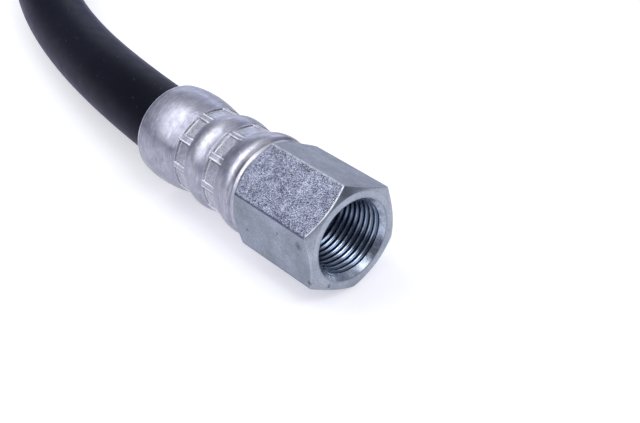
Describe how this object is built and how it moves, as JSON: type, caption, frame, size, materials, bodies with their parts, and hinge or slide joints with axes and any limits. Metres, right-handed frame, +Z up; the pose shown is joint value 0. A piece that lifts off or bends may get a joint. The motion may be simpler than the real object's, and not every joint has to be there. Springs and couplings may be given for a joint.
{
  "type": "hydraulic hose assembly",
  "caption": "Two-braid rubber hydraulic hose laid in one open bend, with a crimped hexagonal female port fitting on each end.",
  "frame": {"origin": "on the near port's axis, at the start of its full thread, just inside the countersink", "axes": "+X points out of the near port's mouth along its axis, +Z is up; the fittings and the hose lie on the plane z = -12.8 mm with a corner of each hexagon down"},
  "size_m": [0.2134, 0.1977, 0.0256],
  "materials": {
    "fitting_steel": "satin, mottled zinc plating",
    "ferrule_zinc": "semi-bright zinc plating",
    "tube_rubber": "matte",
    "braid_wire": "bright brass-coated wire",
    "cover_rubber": "smooth satin"
  },
  "bodies": {
    "root": {"near_body": "fitting_steel", "near_ferrule": "ferrule_zinc", "far_body": "fitting_steel", "far_ferrule": "ferrule_zinc", "inner_tube": "tube_rubber", "inner_braid": "braid_wire", "middle_rubber": "tube_rubber", "outer_braid": "braid_wire", "outer_cover": "cover_rubber"}
  },
  "joints": []
}
